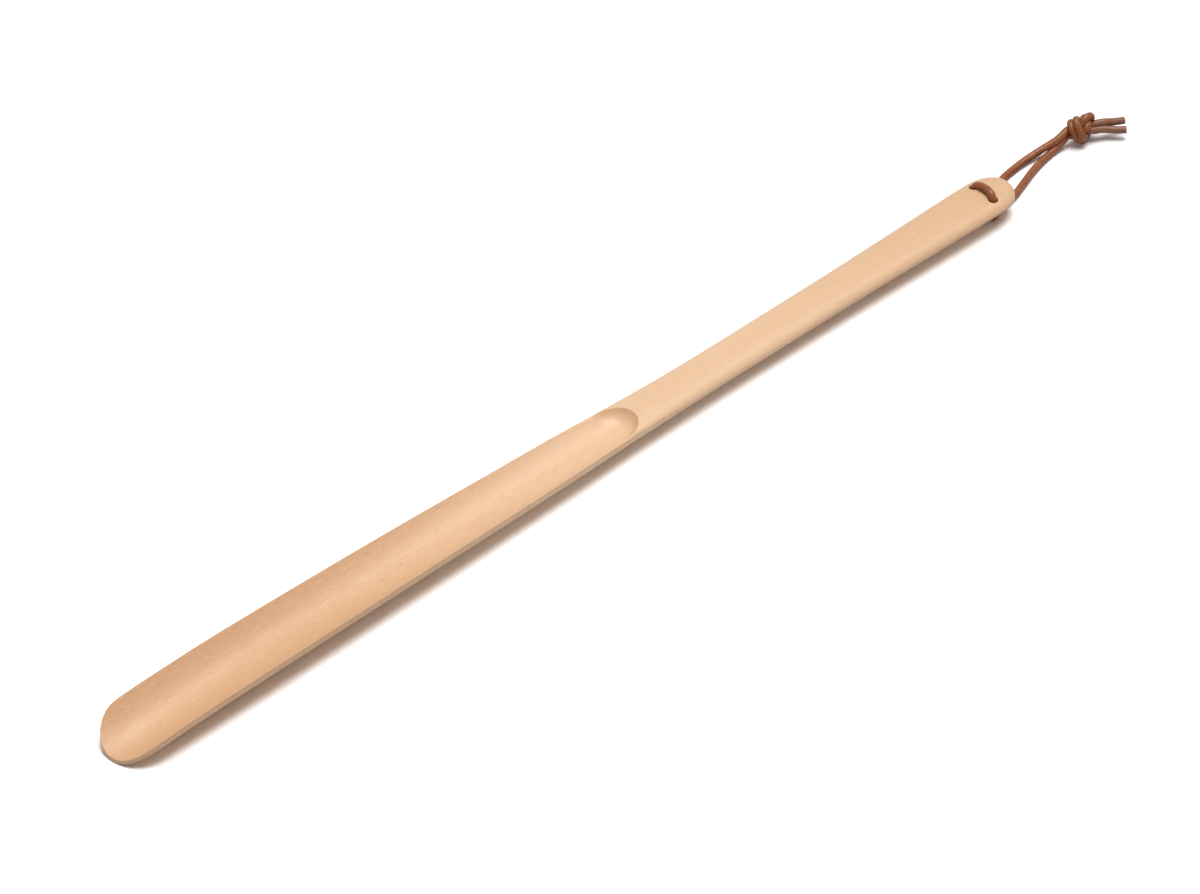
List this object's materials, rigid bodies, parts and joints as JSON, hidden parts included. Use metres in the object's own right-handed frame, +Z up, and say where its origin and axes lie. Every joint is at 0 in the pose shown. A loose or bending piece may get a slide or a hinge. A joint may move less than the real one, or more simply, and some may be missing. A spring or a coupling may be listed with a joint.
{
  "type": "long-handled shoe horn",
  "caption": "Long wooden shoe horn: a carved scoop for the heel, a domed handle, and a round leather hanging cord tied in a knot.",
  "frame": {"origin": "middle of the horn's length and width, on the surface that it lies on", "axes": "+X from the blade's tip to the handle's end, +Y across to the side away from the camera, +Z up, out of the scoop"},
  "size_m": [0.621, 0.035, 0.0172],
  "materials": {
    "beech": "pale beech, sanded smooth, with a soft oiled sheen",
    "leather": "round brown leather cord, smooth, slightly glossy"
  },
  "bodies": {
    "horn": {"horn": "beech", "cord_bridge": "leather"},
    "lanyard": {"cord_strand_far": "leather", "cord_strand_near": "leather", "cord_knot_far": "leather", "cord_knot_near": "leather", "cord_tail_far": "leather", "cord_tail_near": "leather"}
  },
  "joints": [
    {"name": "lanyard_swing", "type": "hinge", "parent": "horn", "child": "lanyard", "pos_m": [0.2595, 0, 0.0017], "axis": [0, 1, 0], "range_deg": [0, 170]}
  ]
}
